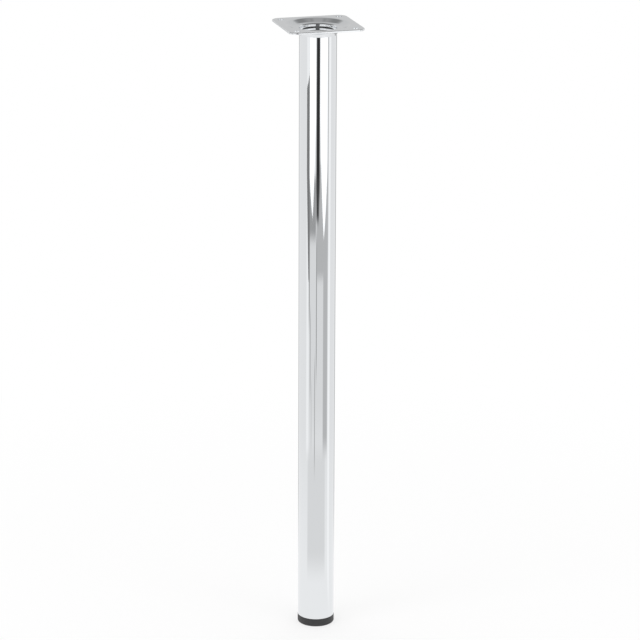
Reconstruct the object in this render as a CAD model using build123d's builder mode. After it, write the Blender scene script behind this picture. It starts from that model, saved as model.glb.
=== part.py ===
"""Chromed steel table leg with a square mounting plate and a screw-in levelling foot.

Millimetres. The floor is Z = 0, +Z is up, the tube's axis is the Z axis and the
plate's edges run along X and Y. The leg is shown with its foot screwed right in.
"""

import os

from build123d import *

# Overall sizes
leg_height = 710.0
tube_diameter = 42.0
tube_wall = 1.5

# Mounting plate: one square of sheet steel, pressed down in the middle
plate_side = 86.0
plate_sheet = 2.0
plate_corner_radius = 10.0
plate_edge_break = 0.3
screw_hole_inset = 9.75
screw_hole_diameter = 7.0
screw_hole_break = 0.5

# Pressing in the plate, all on its upper face
dish_margin = 7.5
dish_rim_run_out = 3.0
dish_rim_bend = 7.5
dish_slope_run = 8.0
ledge_depth = 3.6
cup_inset = 0.1
cup_lip_bend = 2.2
cup_depth = 7.8
cup_floor_break = 1.2

# Weld that fills the corner between the pressing and the tube
weld_width = 4.2
weld_leg = 2.0
weld_hollow = 0.3

# Tube's cut end above the foot
tube_end_break = 0.4

# Levelling foot: a screw moulded into a plastic pad
pad_height = 9.0
pad_overhang = 0.15
pad_sole_break = 1.0
pad_top_break = 0.3
pad_relief_radius = 12.0
pad_relief_depth = 1.0
foot_travel = 20.0
stem_diameter = 10.0
stem_end_chamfer = 1.0
stem_head_flats = 17.0
stem_head_height = 5.0
stem_head_cover = 1.5
stem_spare = 4.0

# Plastic insert pressed into the tube, with a nut caught in its top
insert_length = 28.0
insert_wall = 2.0
insert_floor = 3.0
insert_boss_radius = 12.5
insert_web_count = 6
insert_web = 2.0
insert_web_step = 4.0
insert_lead_in = 0.8
nut_flats = 17.0
nut_height = 8.0
nut_chamfer = 0.6

# Clearances
press_clearance = 0.05
thread_clearance = 0.05
stem_clearance = 0.4
nut_pocket_clearance = 0.1

tube_radius = tube_diameter / 2
tube_bore_radius = tube_radius - tube_wall
stem_radius = stem_diameter / 2
plate_top = leg_height
screw_hole_spacing = plate_side - 2 * screw_hole_inset
dish_rim_radius = plate_side / 2 - dish_margin
ledge_radius = dish_rim_radius - dish_slope_run
cup_radius = tube_bore_radius - cup_inset
weld_radius = cup_radius + plate_sheet + weld_width
cup_underside = plate_top - cup_depth - plate_sheet
ledge_underside = plate_top - ledge_depth - plate_sheet
tube_foot = pad_height
insert_top = tube_foot + insert_length
nut_bottom = insert_top - nut_height
stem_head_top = pad_height - stem_head_cover
stem_top = insert_top + foot_travel + stem_spare

os.makedirs("parts", exist_ok=True)


# Mounting plate. The blank has rounded corners and four punched holes, and its
# middle is drawn down in one stroke: a dished rim, a flat ledge and a shallow cup.
pressing_radius = dish_rim_radius + dish_rim_run_out

with BuildPart() as mounting_plate:
    with BuildSketch(Plane.XY.offset(plate_top - plate_sheet)):
        RectangleRounded(plate_side, plate_side, plate_corner_radius)
        Circle(pressing_radius, mode=Mode.SUBTRACT)
        with GridLocations(screw_hole_spacing, screw_hole_spacing, 2, 2):
            Circle(screw_hole_diameter / 2, mode=Mode.SUBTRACT)
    extrude(amount=plate_sheet)

    hole_edges = mounting_plate.edges().filter_by(GeomType.CIRCLE).filter_by(
        lambda edge: abs(edge.radius - screw_hole_diameter / 2) < press_clearance
    )
    chamfer(hole_edges.group_by(Axis.Z)[0], screw_hole_break)
    outline = mounting_plate.faces().sort_by(Axis.Z)[-1].outer_wire().edges()
    chamfer(outline, plate_edge_break)

    with BuildSketch(Plane.XZ) as pressing_section:
        with BuildLine():
            Polyline(
                (pressing_radius, plate_top),
                (dish_rim_radius, plate_top),
                (ledge_radius, plate_top - ledge_depth),
                (cup_radius, plate_top - ledge_depth),
                (cup_radius, plate_top - cup_depth),
                (0, plate_top - cup_depth),
            )
            offset(amount=plate_sheet, side=Side.LEFT, kind=Kind.INTERSECTION)
        make_face()
        for corner, bend in (
            ((dish_rim_radius, plate_top), dish_rim_bend),
            ((cup_radius, plate_top - ledge_depth), cup_lip_bend),
        ):
            fillet(pressing_section.vertices().sort_by_distance(corner)[0], bend)
        for corner in ((cup_radius, plate_top - cup_depth), (cup_radius + plate_sheet, cup_underside)):
            chamfer(pressing_section.vertices().sort_by_distance(corner)[0], cup_floor_break)
    revolve(axis=Axis.Z)

mounting_plate.part.label = "mounting_plate"
export_step(mounting_plate.part, "parts/mounting_plate.step")


# Leg tube. Drawn steel tube, butted under the cup and welded all round.
with BuildPart() as leg_tube:
    with BuildSketch(Plane.XY.offset(tube_foot)):
        Circle(tube_radius)
        Circle(tube_bore_radius, mode=Mode.SUBTRACT)
    extrude(amount=cup_underside - tube_foot)
    foot_rim = leg_tube.edges().filter_by(GeomType.CIRCLE).group_by(Axis.Z)[0]
    chamfer(foot_rim.sort_by(SortBy.RADIUS)[-1], tube_end_break)
    with BuildSketch(Plane.XZ):
        with BuildLine():
            weld_face = SagittaArc(
                (tube_radius, cup_underside - weld_leg),
                (weld_radius, ledge_underside),
                weld_hollow,
            )
            Polyline(
                weld_face @ 1,
                (tube_bore_radius, ledge_underside),
                (tube_bore_radius, cup_underside - weld_leg),
                weld_face @ 0,
            )
        make_face()
    revolve(axis=Axis.Z)
    add(mounting_plate.part, mode=Mode.SUBTRACT)

leg_tube.part.label = "leg_tube"
export_step(leg_tube.part, "parts/leg_tube.step")


# Foot insert. A moulded plug pressed into the tube: an outer wall, a boss with a
# six-sided pocket for the nut, and webs between them.
with BuildPart() as foot_insert:
    with BuildSketch(Plane.XY.offset(tube_foot)):
        Circle(tube_bore_radius - press_clearance)
    extrude(amount=insert_length)
    with BuildSketch(Plane.XY.offset(tube_foot + insert_floor)):
        Circle(tube_bore_radius - press_clearance - insert_wall)
        Circle(insert_boss_radius, mode=Mode.SUBTRACT)
    extrude(amount=insert_length - insert_floor, mode=Mode.SUBTRACT)
    web_length = tube_bore_radius - insert_wall / 2 - insert_boss_radius
    web_centre = insert_boss_radius + web_length / 2 - insert_wall / 4
    with BuildSketch(Plane.XY.offset(tube_foot + insert_floor)):
        with PolarLocations(web_centre, insert_web_count):
            Rectangle(web_length, insert_web)
    extrude(amount=insert_length - insert_floor - insert_web_step)
    with BuildSketch(Plane.XY.offset(tube_foot)):
        Circle(stem_radius + stem_clearance)
    extrude(amount=insert_length, mode=Mode.SUBTRACT)
    with BuildSketch(Plane.XY.offset(nut_bottom)):
        RegularPolygon(nut_flats / 2 + nut_pocket_clearance, 6, major_radius=False)
    extrude(amount=nut_height, mode=Mode.SUBTRACT)
    top_rim = foot_insert.edges().filter_by(GeomType.CIRCLE).group_by(Axis.Z)[-1]
    chamfer(top_rim.sort_by(SortBy.RADIUS)[-1], insert_lead_in)

foot_insert.part.label = "foot_insert"
export_step(foot_insert.part, "parts/foot_insert.step")


# Captive nut. A standard six-sided nut, held from turning by its pocket.
with BuildPart() as captive_nut:
    with BuildSketch(Plane.XY.offset(nut_bottom)):
        RegularPolygon(nut_flats / 2, 6, major_radius=False)
        Circle(stem_radius + thread_clearance, mode=Mode.SUBTRACT)
    extrude(amount=nut_height)
    bore_edges = captive_nut.edges().filter_by(GeomType.CIRCLE)
    chamfer(bore_edges, nut_chamfer)

captive_nut.part.label = "captive_nut"
export_step(captive_nut.part, "parts/captive_nut.step")


# Foot stem. A six-sided screw that turns in the nut; its head is moulded into the pad.
with BuildPart() as foot_stem:
    with BuildSketch(Plane.XY.offset(stem_head_top - stem_head_height)):
        RegularPolygon(stem_head_flats / 2, 6, major_radius=False)
    extrude(amount=stem_head_height)
    with BuildSketch(Plane.XY.offset(stem_head_top)):
        Circle(stem_radius)
    extrude(amount=stem_top - stem_head_top)
    chamfer(foot_stem.edges().group_by(Axis.Z)[-1], stem_end_chamfer)

foot_stem.part.label = "foot_stem"
export_step(foot_stem.part, "parts/foot_stem.step")


# Foot pad. Black plastic moulded round the screw's head, as wide as the tube.
pad_radius = tube_radius + pad_overhang

with BuildPart() as foot_pad:
    with BuildSketch():
        Circle(pad_radius)
    extrude(amount=pad_height)
    pad_rims = foot_pad.edges().filter_by(GeomType.CIRCLE).sort_by(Axis.Z)
    chamfer(pad_rims[0], pad_sole_break)
    chamfer(pad_rims[-1], pad_top_break)
    with BuildSketch():
        Circle(pad_relief_radius)
    extrude(amount=pad_relief_depth, mode=Mode.SUBTRACT)
    with BuildSketch(Plane.XY.offset(stem_head_top - stem_head_height)):
        RegularPolygon(stem_head_flats / 2, 6, major_radius=False)
    extrude(amount=stem_head_height, mode=Mode.SUBTRACT)
    with BuildSketch(Plane.XY.offset(stem_head_top)):
        Circle(stem_radius + press_clearance)
    extrude(amount=stem_head_cover, mode=Mode.SUBTRACT)

foot_pad.part.label = "foot_pad"
export_step(foot_pad.part, "parts/foot_pad.step")
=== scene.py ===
import math

import bpy
import numpy as np
from mathutils import Matrix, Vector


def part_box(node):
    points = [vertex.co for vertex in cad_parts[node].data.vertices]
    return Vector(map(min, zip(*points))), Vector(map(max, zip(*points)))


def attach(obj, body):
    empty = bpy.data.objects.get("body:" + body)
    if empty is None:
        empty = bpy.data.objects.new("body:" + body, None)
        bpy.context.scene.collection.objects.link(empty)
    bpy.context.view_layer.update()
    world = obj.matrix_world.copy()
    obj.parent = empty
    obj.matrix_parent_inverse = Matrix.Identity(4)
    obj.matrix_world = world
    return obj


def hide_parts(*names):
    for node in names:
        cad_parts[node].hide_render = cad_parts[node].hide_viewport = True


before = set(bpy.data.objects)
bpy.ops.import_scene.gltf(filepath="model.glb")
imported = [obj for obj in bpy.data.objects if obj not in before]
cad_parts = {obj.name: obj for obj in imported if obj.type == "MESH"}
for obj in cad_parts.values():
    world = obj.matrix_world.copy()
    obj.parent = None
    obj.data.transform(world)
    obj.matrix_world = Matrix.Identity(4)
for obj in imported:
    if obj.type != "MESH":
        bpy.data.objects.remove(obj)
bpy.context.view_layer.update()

scene = bpy.context.scene
scene.view_settings.view_transform = "Standard"


# Camera
# A long lens about three metres away and 1.3 m above the floor, turned a little to the plate's edges. Its
# place and its lens were fitted to the tube's sides, the plate's outline and the foot in the photograph.
PLATE_TURN = math.radians(15.95)
CAMERA_DISTANCE = 3.0326
CAMERA_HEIGHT = 1.3262
CAMERA_PITCH = math.radians(17.52)
CAMERA_PAN = math.radians(0.067)
CAMERA_ROLL = math.radians(0.251)
CAMERA_LENS = 157.6
CAMERA_SENSOR = 36.0


def camera_basis(heading, pitch, roll):
    """Right, up and back directions: heading clockwise from +Y seen from above, pitch downwards, and a
    roll that leans the picture's top to the right."""
    level = np.array([math.sin(heading), math.cos(heading), 0.0])
    right = np.array([math.cos(heading), -math.sin(heading), 0.0])
    ahead = math.cos(pitch) * level - math.sin(pitch) * np.array([0.0, 0.0, 1.0])
    up = np.cross(right, ahead)
    return (
        math.cos(roll) * right + math.sin(roll) * up,
        math.cos(roll) * up - math.sin(roll) * right,
        -ahead,
    )


camera = bpy.data.objects.new("camera", bpy.data.cameras.new("camera"))
scene.collection.objects.link(camera)
scene.camera = camera
camera.data.lens = CAMERA_LENS
camera.data.sensor_width = CAMERA_SENSOR
camera_axes = camera_basis(PLATE_TURN + CAMERA_PAN, CAMERA_PITCH, CAMERA_ROLL)
camera.matrix_world = Matrix.Translation(
    (-CAMERA_DISTANCE * math.sin(PLATE_TURN), -CAMERA_DISTANCE * math.cos(PLATE_TURN), CAMERA_HEIGHT)
) @ Matrix(np.column_stack(camera_axes).tolist()).to_4x4()


# Studio
# Chrome shows only its surroundings, so these are laid out as a product studio: a white floor with painted
# shadows and painted lighter and darker zones on it, two folded white cards with a dark gap between them,
# white walls, a dark band above them and a grey ceiling. All of these show in reflections, and the camera
# sees a plain white floor.
def linear(colour):
    """An sRGB hex colour such as #c8c8c8 as linear red, green, blue and alpha."""
    code = np.array([int(colour[i : i + 2], 16) / 255 for i in (1, 3, 5)])
    rgb = np.where(code <= 0.04045, code / 12.92, ((code + 0.055) / 1.055) ** 2.4)
    return (*rgb.tolist(), 1.0)


def add(tree, kind, links=(), **settings):
    """Adds a node. links are (input, socket) pairs, and settings are attributes or input values; an input
    known only by its number is written _3."""
    node = tree.nodes.new(kind)
    for name, value in settings.items():
        if hasattr(node, name):
            setattr(node, name, value)
        else:
            key = int(name[1:]) if name[1:].isdigit() else name.replace("_", " ")
            node.inputs[key].default_value = value
    for name, socket in links:
        tree.links.new(socket, node.inputs[name])
    return node


def blank(name):
    """A new material with nothing in it but its output, and that output's surface socket."""
    made = bpy.data.materials.new(name)
    made.use_nodes = True
    made.node_tree.nodes.clear()
    output = made.node_tree.nodes.new("ShaderNodeOutputMaterial")
    return made, made.node_tree, output.inputs["Surface"]


def studio_place(bearing, distance, height):
    """A point given from the leg: its bearing in degrees to the right of the camera's own, its distance along
    the floor and its height."""
    angle = math.radians(bearing) - PLATE_TURN
    return (distance * math.sin(angle), -distance * math.cos(angle), height)


def quad(name, corners, material):
    """A flat studio panel through four corners, which shows in reflections but not to the camera. It goes
    with the foot, which stands on the floor, so that screwing the foot out lifts the leg off the floor."""
    mesh = bpy.data.meshes.new(name)
    mesh.from_pydata(corners, [], [(0, 1, 2, 3)])
    mesh.materials.append(material)
    panel = bpy.data.objects.new(name, mesh)
    scene.collection.objects.link(panel)
    panel.visible_camera = False
    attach(panel, "foot")
    return panel


def glowing(name, colour, strength):
    """A material that only shines, for a lit card or a dark wall."""
    made, tree, surface = blank(name)
    shine = add(tree, "ShaderNodeEmission", Color=linear(colour), Strength=strength)
    tree.links.new(shine.outputs["Emission"], surface)
    return made


def between(tree, socket, middle, half, soft):
    """1 where the value is within half of middle, falling to 0 over the soft width."""
    offset = add(tree, "ShaderNodeMath", [(0, socket)], operation="SUBTRACT", _1=middle)
    apart = add(tree, "ShaderNodeMath", [(0, offset.outputs[0])], operation="ABSOLUTE")
    inside = add(
        tree, "ShaderNodeMapRange", [("Value", apart.outputs[0])], interpolation_type="SMOOTHSTEP",
        From_Min=half + soft / 2, From_Max=half - soft / 2, To_Min=0.0, To_Max=1.0,
    )
    return inside.outputs["Result"]


FLOOR_REACH = 12.0
# The floor in reflections, which darkens a little from near to far.
FLOOR_NEAR = 0.2
FLOOR_FAR = 0.7
FLOOR_NEAR_WHITE = 1.02
FLOOR_WHITE = 0.93
# The floor to the camera, plain white but for the foot's own faint shadow.
SHADOW_START = 0.05
SHADOW_END = 0.9
SHADOW_WHITE = 0.72
# Painted light and shade on the floor as it shows in reflections: painted shadows on the floor in front of
# the cards, painted lighter and darker zones round the leg, and a painted near-black floor beyond the gap
# between the cards.
# Each patch: bearings from and to, distances from and to, brightness, softness in degrees and in metres.
FLOOR_PAINTED_LIGHT_AND_SHADE = [
    (-55, 55, 0.20, 0.62, 0.84, 12, 0.12),
    (-68, -50, 0.60, 3.60, 1.07, 6, 0.10),
    (73, 88, 0.10, 4.00, 1.12, 4, 0.20),
    (65, 70, 1.50, 4.00, 0.56, 2, 0.30),
    (-50, 66, 0.70, 1.95, 0.85, 5, 0.30),
    (-50, -8, 1.68, 2.10, 0.40, 6, 0.12),
    (-1, 66, 1.44, 2.20, 0.56, 5, 0.10),
    (39, 68, 0.62, 1.50, 0.57, 5, 0.12),
    (-52, -46, 1.20, 1.85, 0.34, 4, 0.20),
    (-44, -38, 0.85, 1.25, 0.56, 3, 0.15),
    (-36, -31, 0.62, 0.90, 0.72, 3, 0.10),
    (-5, -1, 0.95, 1.70, 0.30, 3, 0.20),
    (-14, -10, 0.55, 1.00, 0.44, 3, 0.15),
    (148, 162, 0.30, 4.00, 0.40, 6, 0.30),
    (-160, -150, 0.30, 4.00, 0.40, 6, 0.30),
    (-7, 14, 1.95, 6.00, 0.035, 7, 0.20),
    (-6, 10, 1.79, 2.10, 0.06, 9, 0.10),
]
floor_paint, tree, surface = blank("studio_floor_white")
place = add(tree, "ShaderNodeTexCoord")
turn = add(
    tree, "ShaderNodeMapping", [("Vector", place.outputs["Object"])], Rotation=(0.0, 0.0, PLATE_TURN),
)
axes = add(tree, "ShaderNodeSeparateXYZ", [("Vector", turn.outputs["Vector"])])
towards = add(tree, "ShaderNodeMath", [(0, axes.outputs["Y"])], operation="MULTIPLY", _1=-1.0)
angle = add(tree, "ShaderNodeMath", [(0, axes.outputs["X"]), (1, towards.outputs[0])], operation="ARCTAN2")
bearing = add(tree, "ShaderNodeMath", [(0, angle.outputs[0])], operation="DEGREES")
distance = add(tree, "ShaderNodeVectorMath", [(0, turn.outputs["Vector"])], operation="LENGTH")
near = add(
    tree, "ShaderNodeMapRange", [("Value", distance.outputs["Value"])],
    From_Min=FLOOR_NEAR, From_Max=FLOOR_FAR, To_Min=FLOOR_NEAR_WHITE, To_Max=FLOOR_WHITE,
)
brightness = near.outputs["Result"]
for left, right, first, last, value, soft_angle, soft_length in FLOOR_PAINTED_LIGHT_AND_SHADE:
    across = between(tree, bearing.outputs[0], (left + right) / 2, (right - left) / 2, soft_angle)
    along = between(tree, distance.outputs["Value"], (first + last) / 2, (last - first) / 2, soft_length)
    light_and_shade_mask = add(tree, "ShaderNodeMath", [(0, across), (1, along)], operation="MULTIPLY")
    mixed = add(
        tree, "ShaderNodeMapRange", [("Value", light_and_shade_mask.outputs[0]), ("To Min", brightness)],
        From_Min=0.0, From_Max=1.0, To_Max=value,
    )
    brightness = mixed.outputs["Result"]
path = add(tree, "ShaderNodeLightPath")
lit = add(tree, "ShaderNodeBsdfDiffuse", Color=linear("#ffffff"))
plain_white = add(tree, "ShaderNodeEmission", Color=linear("#ffffff"), Strength=1.0)
whiter = add(
    tree, "ShaderNodeMapRange", [("Value", distance.outputs["Value"])], interpolation_type="SMOOTHSTEP",
    From_Min=SHADOW_START, From_Max=SHADOW_END, To_Min=SHADOW_WHITE, To_Max=1.0,
)
seen_white = add(
    tree, "ShaderNodeMixShader",
    [("Fac", whiter.outputs["Result"]), (1, lit.outputs[0]), (2, plain_white.outputs[0])],
)
mirrored = add(tree, "ShaderNodeEmission", [("Strength", brightness)], Color=linear("#ffffff"))
camera_or_lit = add(
    tree, "ShaderNodeMixShader",
    [("Fac", path.outputs["Is Camera Ray"]), (1, lit.outputs[0]), (2, seen_white.outputs[0])],
)
reflected = add(
    tree, "ShaderNodeMath", [(0, path.outputs["Is Glossy Ray"]), (1, path.outputs["Is Transmission Ray"])],
    operation="MAXIMUM",
)
choose = add(
    tree, "ShaderNodeMixShader",
    [("Fac", reflected.outputs[0]), (1, camera_or_lit.outputs[0]), (2, mirrored.outputs[0])],
)
tree.links.new(choose.outputs[0], surface)
floor = quad(
    "floor",
    [(sx * FLOOR_REACH, sy * FLOOR_REACH, 0.0) for sx, sy in ((-1, -1), (1, -1), (1, 1), (-1, 1))],
    floor_paint,
)
floor.visible_camera = True

# Folded cards: the bearing and distance of the outer edge, the fold and the inner edge.
CARD_HEIGHT = 1.76
CARD_STRENGTH = 1.35
card_white = glowing("lit_card_white", "#ffffff", CARD_STRENGTH)
FOLDED_CARDS = {
    "left": [(-48.7, 2.10), (-27.8, 1.81), (-9.5, 2.60)],
    "right": [(63.0, 2.13), (40.8, 1.67), (14.5, 2.60)],
}
for side, edges in FOLDED_CARDS.items():
    for leaf, (start, end) in enumerate(zip(edges, edges[1:])):
        quad(
            f"card_{side}_{leaf}",
            [
                studio_place(*start, 0.0), studio_place(*end, 0.0),
                studio_place(*end, CARD_HEIGHT), studio_place(*start, CARD_HEIGHT),
            ],
            card_white,
        )

# A grey case leans against the left card's outer edge. Its levels are the bearing, distance and height of the
# left and right corners.
case_grey = glowing("grey_case", "#848484", 1.0)
CASE_LEVELS = [
    [(-55.0, 1.42, 0.0), (-48.0, 1.42, 0.0)],
    [(-67.5, 1.50, 0.165), (-48.8, 1.50, 0.165)],
    [(-67.5, 1.60, 0.285), (-49.5, 1.60, 0.31)],
]
for level, (low, high) in enumerate(zip(CASE_LEVELS, CASE_LEVELS[1:])):
    quad(
        f"case_{level}",
        [studio_place(*corner) for corner in (low[0], low[1], high[1], high[0])],
        case_grey,
    )

# The unlit room behind the camera.
ROOM_DISTANCE = 4.8
ROOM_SPREAD = 18.0
ROOM_FOOT = -0.01
ROOM_TOP = 4.4
quad(
    "room_behind_camera",
    [
        studio_place(side * ROOM_SPREAD, ROOM_DISTANCE, height)
        for side, height in ((-1, ROOM_FOOT), (1, ROOM_FOOT), (1, ROOM_TOP), (-1, ROOM_TOP))
    ],
    glowing("unlit_room", "#6e6e6e", 1.0),
)

# Walls, dark band and ceiling by the sine of the elevation: straight away from the camera, to each side of
# that, and at the sides. The second table gives the degrees from away over which a wall turns into the next.
WALLS = {
    "away": [(0.0, "#d3d3d3"), (0.34, "#d3d3d3"), (0.54, "#c8c8c8"), (0.62, "#bcbcbc"), (0.70, "#acacac"),
             (0.87, "#acacac"), (0.935, "#484848"), (0.96, "#747474"), (1.0, "#848484")],
    "flank": [(0.0, "#d3d3d3"), (0.53, "#d3d3d3"), (0.61, "#a4a4a4"), (0.67, "#8d8d8d"), (0.76, "#8d8d8d"),
              (0.83, "#a4a4a4"), (0.90, "#505050"), (0.935, "#444444"), (0.96, "#747474"), (1.0, "#848484")],
    "side": [(0.0, "#ffffff"), (0.50, "#ffffff"), (0.56, "#686868"), (0.70, "#4c4c4c"), (0.935, "#3c3c3c"),
             (0.96, "#747474"), (1.0, "#848484")],
}
WALL_STARTS = {"flank": (6, 13), "side": (25, 36)}
world = bpy.data.worlds.new("studio_walls")
scene.world = world
world.use_nodes = True
tree = world.node_tree
tree.nodes.clear()
out = tree.nodes.new("ShaderNodeOutputWorld")
view = add(tree, "ShaderNodeTexCoord")
turn = add(
    tree, "ShaderNodeMapping", [("Vector", view.outputs["Generated"])], Rotation=(0.0, 0.0, PLATE_TURN),
)
axes = add(tree, "ShaderNodeSeparateXYZ", [("Vector", turn.outputs["Vector"])])
angle = add(tree, "ShaderNodeMath", [(0, axes.outputs["X"]), (1, axes.outputs["Y"])], operation="ARCTAN2")
from_away = add(tree, "ShaderNodeMath", [(0, angle.outputs[0])], operation="ABSOLUTE")
walls = {}
for wall, steps in WALLS.items():
    shade = add(tree, "ShaderNodeValToRGB", [("Fac", axes.outputs["Z"])])
    ramp = shade.color_ramp
    ramp.elements.remove(ramp.elements[0])
    ramp.elements[0].position, ramp.elements[0].color = steps[0][0], linear(steps[0][1])
    for position, colour in steps[1:]:
        ramp.elements.new(position).color = linear(colour)
    walls[wall] = shade.outputs["Color"]
colour = walls["away"]
for wall, (first, last) in WALL_STARTS.items():
    reach = add(
        tree, "ShaderNodeMapRange", [("Value", from_away.outputs[0])], interpolation_type="SMOOTHSTEP",
        From_Min=math.radians(first), From_Max=math.radians(last), To_Min=0.0, To_Max=1.0,
    )
    mixed = add(
        tree, "ShaderNodeMix", [("Factor", reach.outputs["Result"]), (6, colour), (7, walls[wall])],
        data_type="RGBA",
    )
    colour = mixed.outputs[2]
room = add(tree, "ShaderNodeBackground", [("Color", colour)], Strength=1.0)
white = add(tree, "ShaderNodeBackground", Color=linear("#ffffff"), Strength=1.0)
path = add(tree, "ShaderNodeLightPath")
choose = add(
    tree, "ShaderNodeMixShader",
    [("Fac", path.outputs["Is Camera Ray"]), (1, room.outputs[0]), (2, white.outputs[0])],
)
tree.links.new(choose.outputs[0], out.inputs["Surface"])


LAMP_AIM = 0.3


def lamp(name, bearing, distance, height, size, power):
    """A square soft lamp aimed at the leg a little below its middle, which chrome doesn't show."""
    light = bpy.data.lights.new(name, "AREA")
    light.size = size
    light.energy = power
    holder = bpy.data.objects.new(name, light)
    scene.collection.objects.link(holder)
    spot = np.array(studio_place(bearing, distance, height))
    back = spot - np.array([0.0, 0.0, LAMP_AIM])
    back /= np.linalg.norm(back)
    side = np.cross([0.0, 1.0, 0.001], back)
    side /= np.linalg.norm(side)
    basis = np.column_stack([side, np.cross(back, side), back])
    holder.matrix_world = Matrix.Translation(spot.tolist()) @ Matrix(basis.tolist()).to_4x4()
    holder.visible_glossy = False
    holder.visible_camera = False


lamp("soft_lamp_above", bearing=180.0, distance=0.4, height=3.0, size=2.0, power=46.0)
lamp("soft_lamp_left", bearing=-55.0, distance=2.3, height=1.9, size=1.2, power=14.0)
lamp("soft_lamp_right", bearing=50.0, distance=2.3, height=1.9, size=1.2, power=14.0)


# Mounting plate
# One piece of 2 mm sheet steel: a blank with round corners and four punched holes, its middle drawn down
# into a dish, a flat ledge and a shallow closed cup, then polished and chromed.
MM = 0.001
AROUND = 256
SHEET = 2.0 * MM
CORNER_RADIUS = 10.0 * MM
EDGE_BREAK = 0.3 * MM
HOLE_INSET = 9.75 * MM
HOLE_RADIUS = 3.5 * MM
RIM_MARGIN = 7.5 * MM
RIM_RUN_OUT = 3.0 * MM
SLOPE_RUN = 8.0 * MM
LEDGE_DEPTH = 3.6 * MM
# The photograph's reflections show a cup about a millimetre wider than the solid's.
CUP_RADIUS = 20.5 * MM
CUP_DEPTH = 7.8 * MM
# Bend radii of the upper side: at the rim, the slope's foot, the cup's lip and its floor.
PRESSING_BENDS = [7.5 * MM, 4.5 * MM, 1.6 * MM, 1.7 * MM]
# Radius of the tiny flat face that closes each form at the axis.
EYE = 0.02 * MM
FLANGE_RINGS = 9
# The cut edge is torn to the left of the first line and clean to the right of the second.
TEAR_END = -10.0 * MM
CLEAN_START = 30.0 * MM
# Polishing lines are finer than a pixel, so they are drawn this far apart and this long.
POLISH_LINE_WIDTH = 1.11 * MM
POLISH_LINE_LENGTH = 83.3 * MM
POLISH_SWELL = 22.2 * MM
plate_low, plate_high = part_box("mounting_plate")
PLATE_HALF = (plate_high.x - plate_low.x) / 2
PLATE_TOP = plate_high.z
RIM_RADIUS = PLATE_HALF - RIM_MARGIN
PRESSING_RADIUS = RIM_RADIUS + RIM_RUN_OUT
PRESSING_LINE = [
    (PRESSING_RADIUS, 0.0), (RIM_RADIUS, 0.0), (RIM_RADIUS - SLOPE_RUN, -LEDGE_DEPTH),
    (CUP_RADIUS, -LEDGE_DEPTH), (CUP_RADIUS, -CUP_DEPTH), (0.0, -CUP_DEPTH),
]


def grid_mesh(name, points, close_rows=False):
    """A closed mesh from a grid of points: columns join up round the form, and the rows either join up too,
    as on a tube, or end in one flat face each."""
    rows, columns = points.shape[:2]
    index = np.arange(rows * columns).reshape(rows, columns)
    below = index if close_rows else index[:-1]
    above = np.roll(index, -1, axis=0) if close_rows else index[1:]
    faces = np.stack([below, np.roll(below, -1, axis=1), np.roll(above, -1, axis=1), above], axis=-1)
    faces = faces.reshape(-1, 4).tolist()
    if not close_rows:
        faces += [index[0, ::-1].tolist(), index[-1].tolist()]
    mesh = bpy.data.meshes.new(name)
    mesh.from_pydata(points.reshape(-1, 3).tolist(), [], faces)
    mesh.update()
    return mesh


def bent_line(corners, bends, step_degrees=4.0, hold=0.05 * MM):
    """A line of straight runs with each inner corner rounded to its bend radius: every arc is tangent to both
    runs, so it starts bend * tan(turn / 2) before the corner, and is cut into steps of a few degrees. A point
    a little outside each end of an arc keeps the reflection in the straight runs straight."""
    corners = np.array(corners, float)
    line = [corners[:1]]
    for before, corner, after, bend in zip(corners, corners[1:], corners[2:], bends):
        into = (corner - before) / np.linalg.norm(corner - before)
        out_of = (after - corner) / np.linalg.norm(after - corner)
        turn_angle = math.atan2(into[0] * out_of[1] - into[1] * out_of[0], float(into @ out_of))
        start = corner - into * bend * math.tan(abs(turn_angle) / 2)
        centre = start + np.array([-into[1], into[0]]) * math.copysign(bend, turn_angle)
        steps = max(2, int(math.degrees(abs(turn_angle)) / step_degrees) + 1)
        angles = np.linspace(0.0, turn_angle, steps + 1)[:, None]
        arm = start - centre
        across = np.array([-arm[1], arm[0]])
        arc = centre + np.cos(angles) * arm + np.sin(angles) * across
        line.append(np.vstack([start - into * hold, arc, arc[-1] + out_of * hold]))
    line.append(corners[-1:])
    return np.concatenate(line)


def offset_line(line, amount):
    """The same line moved sideways by amount, to the left of its direction, along the mean of the two runs'
    normals at each point."""
    runs = np.diff(line, axis=0)
    normals = np.column_stack([-runs[:, 1], runs[:, 0]]) / np.linalg.norm(runs, axis=1)[:, None]
    at_points = np.vstack([normals[:1], normals[:-1] + normals[1:], normals[-1:]])
    at_points /= np.linalg.norm(at_points, axis=1)[:, None]
    return line + at_points * amount


def rounded_square(angles, half, corner):
    """Distance from the centre to a square with round corners, seen at each angle. The angle is folded into
    one eighth of the square, where the outline is the flat side or, past the side's end, the corner's arc."""
    folded = np.abs((angles + math.pi / 4) % (math.pi / 2) - math.pi / 4)
    centre = half - corner
    along = centre * (np.cos(folded) + np.sin(folded))
    rounded = along + np.sqrt(np.maximum(corner**2 - 2 * centre**2 + along**2, 0.0))
    return np.where(folded <= math.atan2(centre, half), half / np.cos(folded), rounded)


def ring_rows(radii, heights, columns=AROUND):
    """Rows of points round the axis, from radii and heights given per row or per point."""
    angles = np.arange(columns) * 2 * math.pi / columns
    radii, heights = np.broadcast_arrays(np.atleast_2d(radii), np.atleast_2d(heights))
    shape = (radii.shape[0], columns)
    radii, heights = np.broadcast_to(radii, shape), np.broadcast_to(heights, shape)
    return np.stack([radii * np.cos(angles), radii * np.sin(angles), heights], axis=-1)


def column(values):
    """One value per row, for ring_rows."""
    return np.asarray(values, float).reshape(-1, 1)


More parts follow.
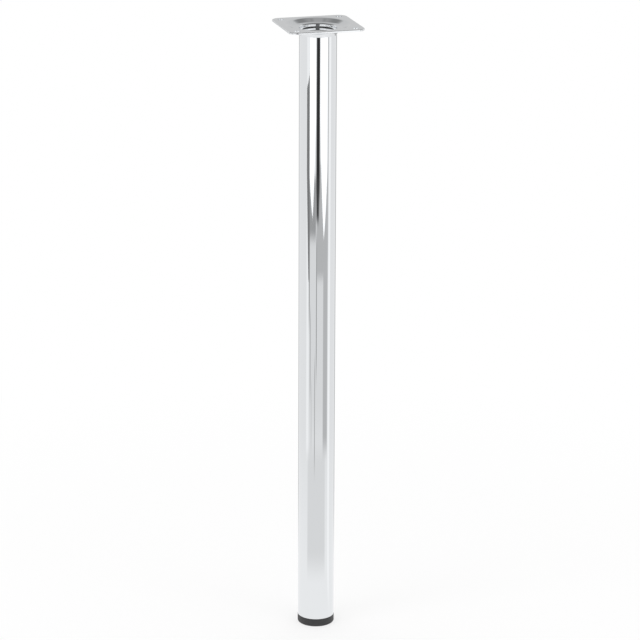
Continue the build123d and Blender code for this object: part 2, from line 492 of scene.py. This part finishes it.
def piece(name, mesh, material, body, replaces, sharp_degrees=30.0):
    """Puts a mesh in the scene as a finished piece: smooth but for its sharp edges, in its material, riding
    its body, and in place of the plain solid that it replaces."""
    made = bpy.data.objects.new(name, mesh)
    scene.collection.objects.link(made)
    mesh.shade_smooth()
    mesh.set_sharp_from_angle(angle=math.radians(sharp_degrees))
    mesh.materials.append(material)
    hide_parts(replaces)
    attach(made, body)
    return made


def chrome(name, waviness, brushing, colour="#e4e6e8", roughness=0.015, torn=0.0):
    """Bright chrome over nickel: a hard blue-white mirror. waviness is the height in mm of the slow swells
    that polishing leaves, and brushing the roughness that comes and goes along faint polishing lines. torn is
    the roughness added towards the left, where a worn blanking die tears the steel instead of cutting it."""
    made, tree, surface = blank(name)
    place = add(tree, "ShaderNodeTexCoord")
    lines = add(
        tree, "ShaderNodeMapping", [("Vector", place.outputs["Object"])],
        Scale=(1 / POLISH_LINE_WIDTH, 1 / POLISH_LINE_WIDTH, 1 / POLISH_LINE_LENGTH),
    )
    grain = add(tree, "ShaderNodeTexNoise", [("Vector", lines.outputs["Vector"])], Scale=1.0, Detail=3.0)
    swell = add(
        tree, "ShaderNodeTexNoise", [("Vector", place.outputs["Object"])], Scale=1 / POLISH_SWELL, Detail=1.0,
    )
    rough = add(
        tree, "ShaderNodeMapRange", [("Value", grain.outputs["Fac"])],
        From_Min=0.35, From_Max=0.75, To_Min=roughness, To_Max=roughness + brushing,
    )
    axes = add(tree, "ShaderNodeSeparateXYZ", [("Vector", place.outputs["Object"])])
    tear = add(
        tree, "ShaderNodeMapRange", [("Value", axes.outputs["X"])],
        From_Min=TEAR_END, From_Max=CLEAN_START, To_Min=torn, To_Max=0.0,
    )
    finish = add(
        tree, "ShaderNodeMath", [(0, rough.outputs["Result"]), (1, tear.outputs["Result"])], operation="ADD",
    )
    bump = add(
        tree, "ShaderNodeBump", [("Height", swell.outputs["Fac"])], Strength=1.0, Distance=waviness * MM,
    )
    shader = add(
        tree, "ShaderNodeBsdfPrincipled",
        [("Roughness", finish.outputs[0]), ("Normal", bump.outputs["Normal"])],
        Base_Color=linear(colour), Metallic=1.0,
    )
    tree.links.new(shader.outputs[0], surface)
    return made


upper = bent_line(PRESSING_LINE, PRESSING_BENDS)
lower = offset_line(upper, SHEET)
upper, lower = upper[:-1], lower[:-1]
outline = rounded_square(np.arange(AROUND) * 2 * math.pi / AROUND, PLATE_HALF, CORNER_RADIUS)
flange = PRESSING_RADIUS + (outline - PRESSING_RADIUS) * column(np.linspace(0.0, 1.0, FLANGE_RINGS))[1:-1]
rows = np.concatenate([
    ring_rows(EYE, PLATE_TOP + upper[-1, 1]),
    ring_rows(column(upper[::-1, 0]), column(PLATE_TOP + upper[::-1, 1])),
    ring_rows(flange, PLATE_TOP),
    ring_rows(outline - EDGE_BREAK, PLATE_TOP),
    ring_rows(outline, PLATE_TOP - EDGE_BREAK),
    ring_rows(outline, PLATE_TOP - SHEET + EDGE_BREAK),
    ring_rows(outline - EDGE_BREAK, PLATE_TOP - SHEET),
    ring_rows(flange[::-1], PLATE_TOP - SHEET),
    ring_rows(column(lower[:, 0]), column(PLATE_TOP + lower[:, 1])),
    ring_rows(EYE, PLATE_TOP + lower[-1, 1]),
])
plate_chrome = chrome("bright_chrome_on_pressed_steel", waviness=0.004, brushing=0.05)
pressed_plate = piece(
    "pressed_plate", grid_mesh("pressed_plate", rows[:, ::-1]), plate_chrome,
    "leg", replaces="mounting_plate",
)
HOLE_PLACE = PLATE_HALF - HOLE_INSET
for sx in (-1, 1):
    for sy in (-1, 1):
        bpy.ops.mesh.primitive_cylinder_add(
            vertices=48, radius=HOLE_RADIUS, depth=10 * MM,
            location=(sx * HOLE_PLACE, sy * HOLE_PLACE, PLATE_TOP),
        )
        punch = bpy.context.object
        cut = pressed_plate.modifiers.new("punched_hole", "BOOLEAN")
        cut.object = punch
        cut.operation = "DIFFERENCE"
        cut.solver = "EXACT"
        bpy.context.view_layer.objects.active = pressed_plate
        bpy.ops.object.modifier_apply(modifier=cut.name)
        bpy.data.objects.remove(punch)
pressed_plate.data.set_sharp_from_angle(angle=math.radians(30))
edge_chrome = chrome(
    "chrome_over_sheared_edge", waviness=0.002, brushing=0.03, colour="#dcdee0", roughness=0.04, torn=0.27,
)
pressed_plate.data.materials.append(edge_chrome)
for face in pressed_plate.data.polygons:
    outermost = max(abs(face.center.x), abs(face.center.y)) > HOLE_PLACE + HOLE_RADIUS + MM
    face.material_index = int(outermost and abs(face.normal.z) < 0.5)


# Leg tube
# Drawn steel tube of 1.5 mm wall, butted under the cup and welded all round; the weld fills the corner under
# the pressing, is dressed smooth and chromed with the tube.
TUBE_RADIUS = 21.0 * MM
TUBE_WALL = 1.5 * MM
END_BREAK = 0.4 * MM
WALL_ROWS = 81
WELD_WIDTH = 3.2 * MM
WELD_LEG = 1.4 * MM
WELD_HOLLOW = 0.3 * MM
WELD_TOE = 0.25 * MM
WELD_RIPPLE = 0.05 * MM
WELD_RIPPLES = 46
# The welder's hand sways this many times round, and shifts the ripples by this many radians.
WELD_SWAYS = 7
WELD_SWAY = 1.5
BORE_RADIUS = TUBE_RADIUS - TUBE_WALL
TUBE_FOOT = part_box("leg_tube")[0].z
CUP_OUTSIDE = CUP_RADIUS + SHEET
LEDGE_UNDERSIDE = PLATE_TOP - LEDGE_DEPTH - SHEET
CUP_UNDERSIDE = PLATE_TOP - CUP_DEPTH - SHEET
CUP_BEND = PRESSING_BENDS[-1] + SHEET
bend_angles = np.linspace(0.0, math.acos((BORE_RADIUS - CUP_OUTSIDE + CUP_BEND) / CUP_BEND), 7)
cup_side = np.column_stack([
    CUP_OUTSIDE - CUP_BEND + CUP_BEND * np.cos(bend_angles),
    CUP_UNDERSIDE + CUP_BEND - CUP_BEND * np.sin(bend_angles),
])
weld_steps = np.linspace(0.0, 1.0, 13)[:, None]
weld_low = np.array([TUBE_RADIUS, CUP_UNDERSIDE - WELD_LEG])
weld_high = np.array([CUP_OUTSIDE + WELD_WIDTH, LEDGE_UNDERSIDE])
weld_run = weld_high - weld_low
weld_side = np.array([weld_run[1], -weld_run[0]]) / np.linalg.norm(weld_run)
weld_line = weld_low + weld_run * weld_steps - weld_side * WELD_HOLLOW * 4 * weld_steps * (1 - weld_steps)
wall_heights = np.linspace(TUBE_FOOT + END_BREAK, weld_low[1] - WELD_TOE, WALL_ROWS)
profile = np.concatenate([
    [(BORE_RADIUS, TUBE_FOOT), (TUBE_RADIUS - END_BREAK, TUBE_FOOT)],
    np.column_stack([np.full(len(wall_heights), TUBE_RADIUS), wall_heights]),
    weld_line,
    [(CUP_OUTSIDE, LEDGE_UNDERSIDE)],
    cup_side,
])
bead = np.zeros(len(profile))
weld_rows = slice(2 + len(wall_heights), 2 + len(wall_heights) + len(weld_line))
bead[weld_rows] = np.sin(math.pi * weld_steps[:, 0])
ripple_angles = np.arange(AROUND) * 2 * math.pi / AROUND
sway = WELD_SWAY * np.sin(WELD_SWAYS * ripple_angles)
ripples = WELD_RIPPLE * np.sin(WELD_RIPPLES * ripple_angles + sway)
tube_rows = ring_rows(column(profile[:, 0]) + column(bead) * ripples, column(profile[:, 1]))
tube_chrome = chrome("bright_chrome_on_drawn_tube", waviness=0.0015, brushing=0.035)
piece(
    "welded_tube", grid_mesh("welded_tube", tube_rows, close_rows=True), tube_chrome,
    "leg", replaces="leg_tube",
)


# Foot insert
# A plug of black nylon, injection moulded with walls and webs of even thickness. It is pressed into the
# tube's end, and the six-sided pocket in its boss holds the nut.
SPARK_TEXTURE = 0.385 * MM
FLOW_MARKS = 8.33 * MM
SHEEN_SPREAD = 0.06


def plastic(name, colour, roughness, grain):
    """Moulded plastic: dull, with the fine spark-eroded texture of its mould, grain in mm high, and a sheen
    that drifts slowly where the melt flowed."""
    made, tree, surface = blank(name)
    place = add(tree, "ShaderNodeTexCoord")
    fine = add(
        tree, "ShaderNodeTexNoise", [("Vector", place.outputs["Object"])],
        Scale=1 / SPARK_TEXTURE, Detail=4.0,
    )
    broad = add(
        tree, "ShaderNodeTexNoise", [("Vector", place.outputs["Object"])], Scale=1 / FLOW_MARKS, Detail=2.0,
    )
    bump = add(tree, "ShaderNodeBump", [("Height", fine.outputs["Fac"])], Strength=1.0, Distance=grain * MM)
    rough = add(
        tree, "ShaderNodeMapRange", [("Value", broad.outputs["Fac"])],
        From_Min=0.3, From_Max=0.7, To_Min=roughness - SHEEN_SPREAD, To_Max=roughness + SHEEN_SPREAD,
    )
    shader = add(
        tree, "ShaderNodeBsdfPrincipled",
        [("Roughness", rough.outputs["Result"]), ("Normal", bump.outputs["Normal"])],
        Base_Color=linear(colour),
    )
    tree.links.new(shader.outputs[0], surface)
    return made


def refinish(node, material):
    """Gives a plain solid a better material in place of its own."""
    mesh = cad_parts[node].data
    mesh.materials.clear()
    mesh.materials.append(material)


insert_plastic = plastic("moulded_black_nylon", "#1c1c1d", 0.5, 0.01)
refinish("foot_insert", insert_plastic)


# Captive nut
# A standard M10 steel nut, pressed, tapped and zinc plated. It drops into the insert's pocket, which keeps
# it from turning.
ZINC_PATCH = 3.85 * MM


def zinc(name, bright, dull):
    """Bright zinc plating: a soft bluish grey whose sheen and colour are patchy from the plating bath."""
    made, tree, surface = blank(name)
    place = add(tree, "ShaderNodeTexCoord")
    patches = add(
        tree, "ShaderNodeTexNoise", [("Vector", place.outputs["Object"])], Scale=1 / ZINC_PATCH, Detail=5.0,
    )
    rough = add(
        tree, "ShaderNodeMapRange", [("Value", patches.outputs["Fac"])],
        From_Min=0.3, From_Max=0.7, To_Min=0.22, To_Max=0.38,
    )
    tint = add(tree, "ShaderNodeValToRGB", [("Fac", patches.outputs["Fac"])])
    tint.color_ramp.elements[0].position = 0.35
    tint.color_ramp.elements[0].color = linear(dull)
    tint.color_ramp.elements[1].position = 0.65
    tint.color_ramp.elements[1].color = linear(bright)
    shader = add(
        tree, "ShaderNodeBsdfPrincipled",
        [("Roughness", rough.outputs["Result"]), ("Base Color", tint.outputs["Color"])], Metallic=1.0,
    )
    tree.links.new(shader.outputs[0], surface)
    return made


zinc_plating = zinc("bright_zinc_on_steel", bright="#b4b8bc", dull="#a2a7ad")
refinish("captive_nut", zinc_plating)


# Foot stem
# An M10 steel screw with a rolled thread, zinc plated. Its six-sided head is moulded into the pad, and its
# thread turns in the captive nut.
STEM_COLUMNS = 48
STEM_RADIUS = 5.0 * MM
STEM_END_TAPER = 1.0 * MM
HEAD_FLATS = 17.0 * MM
HEAD_HEIGHT = 5.0 * MM
THREAD_PITCH = 1.5 * MM
THREAD_DEPTH = 0.92 * MM
THREAD_STEPS = 12
THREAD_START = 0.2 * MM
THREAD_RUN_OUT = 1.5 * MM
# Shares of half a pitch: the flat crest and the flank. The flat root is what is left.
CREST_SHARE = 0.12
FLANK_SHARE = 0.70
stem_low, stem_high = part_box("foot_stem")
head_top = stem_low.z + HEAD_HEIGHT


def threaded_rows(low, high):
    """Rows of a right-hand thread. At each height and angle the flank's place is the height over the pitch,
    less the turn; the radius falls from the crest to the root and back over it, with flat crest and root."""
    count = int((high - low) / THREAD_PITCH * THREAD_STEPS) + 1
    heights = np.linspace(low, high, count)[:, None]
    turns = np.arange(STEM_COLUMNS)[None, :] / STEM_COLUMNS
    flank = np.abs((heights / THREAD_PITCH - turns) % 1.0 * 2 - 1)
    cut = np.clip((flank - CREST_SHARE) / FLANK_SHARE, 0.0, 1.0)
    ends = np.minimum((heights - low) / THREAD_RUN_OUT, 1.0)
    return ring_rows(STEM_RADIUS - THREAD_DEPTH * cut * ends, heights, STEM_COLUMNS)


stem_angles = np.arange(STEM_COLUMNS) * 2 * math.pi / STEM_COLUMNS
hexagon = HEAD_FLATS / 2 / np.cos(stem_angles % (math.pi / 3) - math.pi / 6)
stem_rows = np.concatenate([
    ring_rows(EYE, stem_low.z, STEM_COLUMNS),
    ring_rows(hexagon, stem_low.z, STEM_COLUMNS),
    ring_rows(hexagon, head_top, STEM_COLUMNS),
    ring_rows(STEM_RADIUS, head_top, STEM_COLUMNS),
    threaded_rows(head_top + THREAD_START, stem_high.z - STEM_END_TAPER),
    ring_rows(STEM_RADIUS - STEM_END_TAPER, stem_high.z, STEM_COLUMNS),
    ring_rows(EYE, stem_high.z, STEM_COLUMNS),
])
piece(
    "threaded_stem", grid_mesh("threaded_stem", stem_rows), zinc_plating,
    "foot", replaces="foot_stem", sharp_degrees=40.0,
)


# Foot pad
# Black plastic moulded round the screw's head, as wide as the tube, with a rounded sole and a finely
# textured side.
PAD_SOLE_ROUNDING = 1.3 * MM
PAD_TOP_ROUNDING = 0.3 * MM
PAD_RELIEF_RADIUS = 12.0 * MM
PAD_RELIEF_DEPTH = 1.0 * MM
PAD_RELIEF_DRAFT = 0.3 * MM
PAD_BORE_RADIUS = 5.05 * MM
pad_low, pad_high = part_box("foot_pad")
PAD_RADIUS = (pad_high.x - pad_low.x) / 2
pad_line = bent_line(
    [
        (PAD_RELIEF_RADIUS, pad_low.z), (PAD_RADIUS, pad_low.z), (PAD_RADIUS, pad_high.z),
        (PAD_BORE_RADIUS, pad_high.z),
    ],
    [PAD_SOLE_ROUNDING, PAD_TOP_ROUNDING], step_degrees=10.0,
)
pad_rows = np.concatenate([
    ring_rows(EYE, pad_low.z + PAD_RELIEF_DEPTH),
    ring_rows(PAD_RELIEF_RADIUS - PAD_RELIEF_DRAFT, pad_low.z + PAD_RELIEF_DEPTH),
    ring_rows(column(pad_line[:, 0]), column(pad_line[:, 1])),
    ring_rows(PAD_BORE_RADIUS, head_top),
    ring_rows(EYE, head_top),
])
pad_plastic = plastic("moulded_black_plastic", "#303031", 0.52, 0.012)
piece(
    "moulded_pad", grid_mesh("moulded_pad", pad_rows), pad_plastic,
    "foot", replaces="foot_pad",
)
